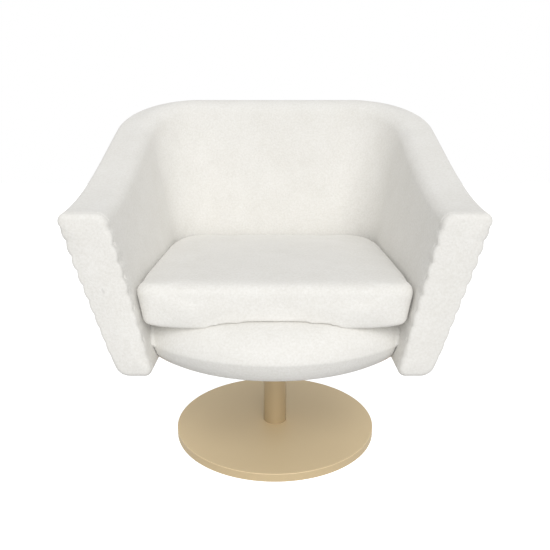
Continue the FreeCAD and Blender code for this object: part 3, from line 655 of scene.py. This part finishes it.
def cushionBlank():
    outline = cushionPlan()
    count = len(outline)
    normals = []
    for index, point in enumerate(outline):
        along = outline[(index + 1) % count] - outline[index - 1]
        normals.append(Vector((along.y, -along.x)).normalized())
    fill, arc, wall = 12, 6, 8
    rows = fill + arc + wall + arc + fill
    piece = addGrid("seatCushion", count, rows)

    def place(shareRound, shareUp):
        index = round(shareRound * count) % count
        row = round(shareUp * rows)
        point, normal = outline[index], normals[index]
        sideways = abs(normal.x) ** 2
        begin, over = cushion["roundFrom"]
        sideRound = between(cushion["sideRound"], ease((point.y - begin) / over))
        topRound = cushion["frontRound"] + (sideRound - cushion["frontRound"]) * sideways
        widest = cushion["high"] - topRound
        lean = cushion["lean"] * sideways
        scale = 1.0
        lowInset = lean * (widest - cushion["low"])
        if row < fill:
            scale, drawn, height = row / fill, lowInset + cushion["lowRound"], cushion["low"]
        elif row < fill + arc:
            turn = (row - fill) / arc * math.pi / 2
            drawn = lowInset + cushion["lowRound"] * (1 - math.sin(turn))
            height = cushion["low"] + cushion["lowRound"] * (1 - math.cos(turn))
        elif row < fill + arc + wall:
            base = cushion["low"] + cushion["lowRound"]
            height = base + (widest - base) * (row - fill - arc) / wall
            drawn = lean * (widest - height)
        elif row <= fill + arc + wall + arc:
            turn = (row - fill - arc - wall) / arc * math.pi / 2
            drawn = topRound * (1 - math.cos(turn))
            height = widest + topRound * math.sin(turn)
        else:
            scale = (rows - row) / fill
            drawn = topRound
            height = cushion["high"] + cushion["crown"] * (1 - scale ** cushion["crownPower"])
        spot = (point - normal * drawn) * scale
        radius = spot.length
        if row < fill + arc + wall:  # the front's lower edge hangs over the deck beside its crown
            inner, wide = cushion["droopAcross"]
            edge, over = cushion["droopBack"]
            share = (abs(spot.x) - inner) / wide
            hang = math.sin(math.pi * share) if 0 < share < 1 else 0
            rise = (height - cushion["low"]) / (widest - cushion["low"])
            height -= cushion["droop"] * hang * ease((edge - spot.y) / over) * (1 - rise)
        if row < fill + arc and radius < cushion["restsWithin"]:
            height = max(height, deckHeight(radius) + cushion["restGap"])
        return Vector((spot.x, spot.y, height))

    layOver(piece, place)
    tidyMesh(piece, 0.0002)
    return piece


def deckHeight(radius):
    # the deck's top under the cushion
    points = [(0.0, deck["top"]), (0.2, deck["top"])] + deck["profile"][:5]
    for (inner, high), (outer, low) in zip(points[:-1], points[1:]):
        if radius <= outer:
            return high + (low - high) * (radius - inner) / (outer - inner)
    return points[-1][1]


def swell(piece):
    # cloth under pressure fills the cushion out, and no point moves further than the cap
    before = [vert.co.copy() for vert in piece.data.vertices]
    makeActive(piece)
    cloth = piece.modifiers.new("cloth", "CLOTH")
    cloth.settings.quality = 6
    cloth.settings.mass = 0.3
    cloth.settings.use_pressure = True
    cloth.settings.uniform_pressure_force = cushion["pressure"]
    cloth.settings.effector_weights.gravity = 0
    cloth.settings.tension_stiffness = 25
    cloth.settings.bending_stiffness = 2
    cloth.collision_settings.use_collision = False
    for number in range(1, cushion["frames"] + 1):
        scene.frame_set(number)
    bpy.ops.object.modifier_apply(modifier="cloth")
    scene.frame_set(1)
    for vert, start in zip(piece.data.vertices, before):
        move = vert.co - start
        if move.length > cushion["cap"]:
            vert.co = start + move.normalized() * cushion["cap"]


seatCushion = cushionBlank()
addModifier(seatCushion, "REMESH", mode="VOXEL", voxel_size=cushion["voxel"])
swell(seatCushion)
addModifier(seatCushion, "SMOOTH", factor=0.5, iterations=6)
addModifier(seatCushion, "SUBSURF", levels=1, render_levels=1)
bpy.ops.object.shade_smooth()
dress(seatCushion, felt)
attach(seatCushion, "cushion")
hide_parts("cushion_cover", "cushion_foam")
print("cushion made")


# floor, light and camera

studio = {
    "cameraAway": 1.389, "cameraHigh": 0.770, "cameraDown": 14.70, "fieldOfView": 50.0,
    "worldStrength": 0.57, "keyStrength": 1.36, "keySpread": 40.0, "keyHigh": 36.0, "keySide": 11.0,
    "fillPower": 5.5, "fillSize": 0.8, "fillPlace": (0.0, -2.0, 0.55), "fillAim": (0.0, 0.0, 0.1),
}


def pureWhiteFloor():
    # white where the camera or a reflection sees it, and it keeps the chair's shadow
    material, tree, shader = newMaterial("whiteFloor")
    shader.inputs["Base Color"].default_value = (0.5, 0.5, 0.5, 1)
    shader.inputs["Roughness"].default_value = 0.9
    rays = addNode(tree, "ShaderNodeLightPath")
    seen = addNode(tree, "ShaderNodeMath", operation="MAXIMUM")
    tree.links.new(rays.outputs["Is Camera Ray"], seen.inputs[0])
    tree.links.new(rays.outputs["Is Glossy Ray"], seen.inputs[1])
    shown = addNode(tree, "ShaderNodeMath", operation="MAXIMUM")
    tree.links.new(seen.outputs["Value"], shown.inputs[0])
    tree.links.new(rays.outputs["Is Transmission Ray"], shown.inputs[1])
    glow = addNode(tree, "ShaderNodeEmission")
    tree.links.new(shown.outputs["Value"], glow.inputs["Strength"])
    total = addNode(tree, "ShaderNodeAddShader")
    tree.links.new(shader.outputs["BSDF"], total.inputs[0])
    tree.links.new(glow.outputs["Emission"], total.inputs[1])
    tree.links.new(total.outputs["Shader"], tree.nodes["Material Output"].inputs["Surface"])
    return material


deselectAll()
bpy.ops.mesh.primitive_plane_add(size=12, location=(0, 0, 0))
floor = bpy.context.object
floor.name = "studioFloor"
dress(floor, pureWhiteFloor())


def whiteWorld():
    # plain white to the camera and to reflections, and softer as a light
    world = bpy.data.worlds.new("studioWorld")
    scene.world = world
    world.use_nodes = True
    tree = world.node_tree
    background = tree.nodes["Background"]
    background.inputs["Color"].default_value = (1, 1, 1, 1)
    rays = addNode(tree, "ShaderNodeLightPath")
    seen = addNode(tree, "ShaderNodeMath", operation="MAXIMUM")
    tree.links.new(rays.outputs["Is Camera Ray"], seen.inputs[0])
    tree.links.new(rays.outputs["Is Glossy Ray"], seen.inputs[1])
    level = addNode(tree, "ShaderNodeMapRange")
    tree.links.new(seen.outputs["Value"], level.inputs["Value"])
    level.inputs["To Min"].default_value = studio["worldStrength"]
    level.inputs["To Max"].default_value = 1.0
    tree.links.new(level.outputs["Result"], background.inputs["Strength"])


def softLight(name, place, aim, size, power):
    deselectAll()
    towards = Vector(aim) - Vector(place)
    bpy.ops.object.light_add(type="AREA", location=place,
                             rotation=towards.to_track_quat("-Z", "Y").to_euler())
    light = bpy.context.object
    light.name = name
    light.data.shape = "SQUARE"
    light.data.size = size
    light.data.energy = power


whiteWorld()
deselectAll()
bpy.ops.object.light_add(type="SUN", location=(0.5, -2.5, 2.2), rotation=(
    math.radians(90 - studio["keyHigh"]), 0, math.radians(studio["keySide"])))
keyLight = bpy.context.object
keyLight.name = "keyLight"
keyLight.data.energy = studio["keyStrength"]
keyLight.data.angle = math.radians(studio["keySpread"])
softLight("fillLight", studio["fillPlace"], studio["fillAim"], studio["fillSize"], studio["fillPower"])

bpy.ops.object.camera_add(location=(0, -studio["cameraAway"], studio["cameraHigh"]),
                          rotation=(math.radians(90 - studio["cameraDown"]), 0, 0))
camera = bpy.context.object
camera.data.angle = math.radians(studio["fieldOfView"])
scene.camera = camera
print("studio made")
